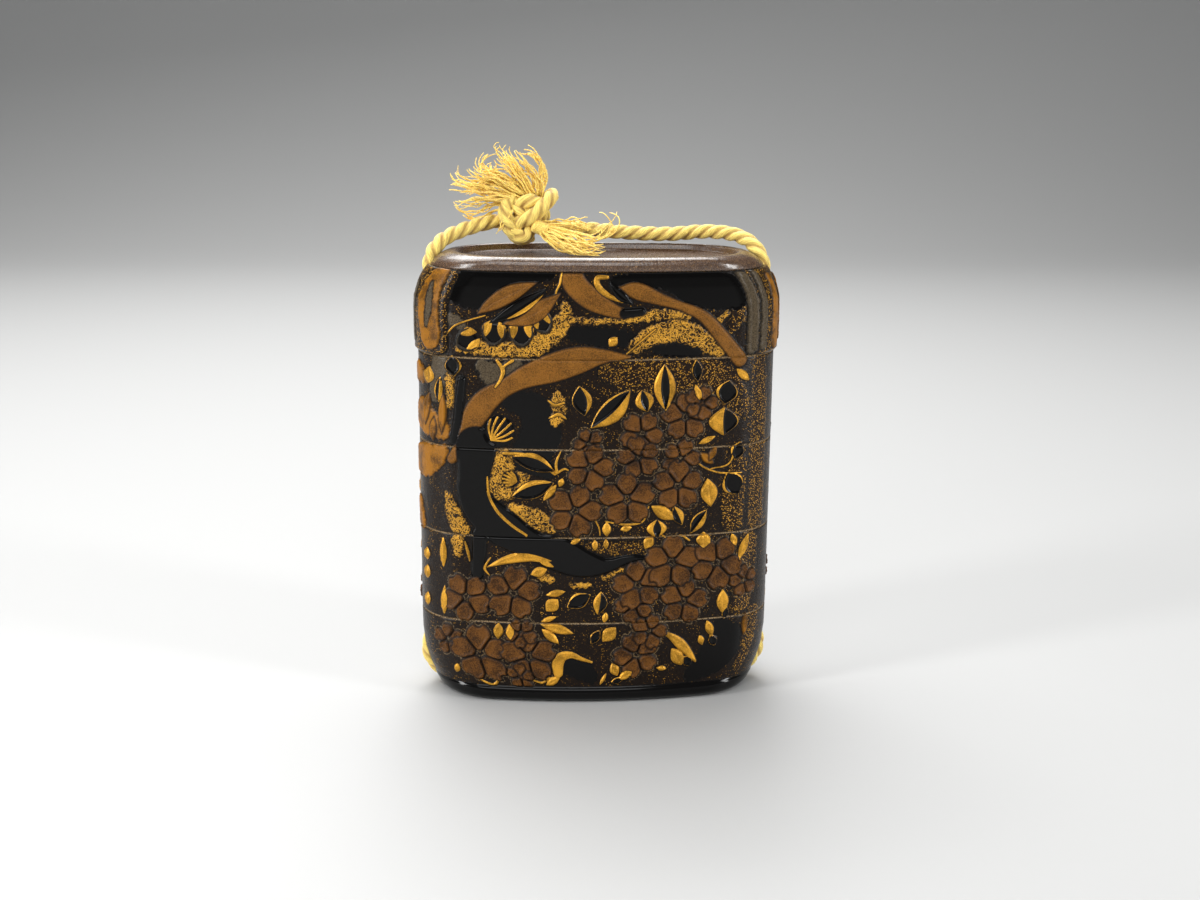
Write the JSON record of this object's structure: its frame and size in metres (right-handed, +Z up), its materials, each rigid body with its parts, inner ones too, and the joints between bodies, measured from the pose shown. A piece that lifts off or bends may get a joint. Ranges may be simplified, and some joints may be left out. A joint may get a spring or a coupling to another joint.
{
  "type": "inro case",
  "caption": "Small tiered lacquer case with a lift-off lid, oval in plan and strung on a silk cord that runs down its ends and is knotted on top.",
  "frame": {"origin": "middle of the underside, on the surface that the case stands on", "axes": "+Z up through the tiers; -Y out of the decorated front; +X to the right as the front is seen"},
  "size_m": [0.0608, 0.0252, 0.0908],
  "materials": {
    "lacquer": "polished near-black lacquer over wood, with gold dust and raised brown, rust and gold ornament",
    "silk_cord": "twisted straw-gold silk, a little fuzzy, its ends teased out"
  },
  "bodies": {
    "root": {"lid": "lacquer", "case_1": "lacquer", "case_2": "lacquer", "case_3": "lacquer", "case_4": "lacquer", "cord": "silk_cord", "cord_knot": "silk_cord"}
  },
  "joints": []
}
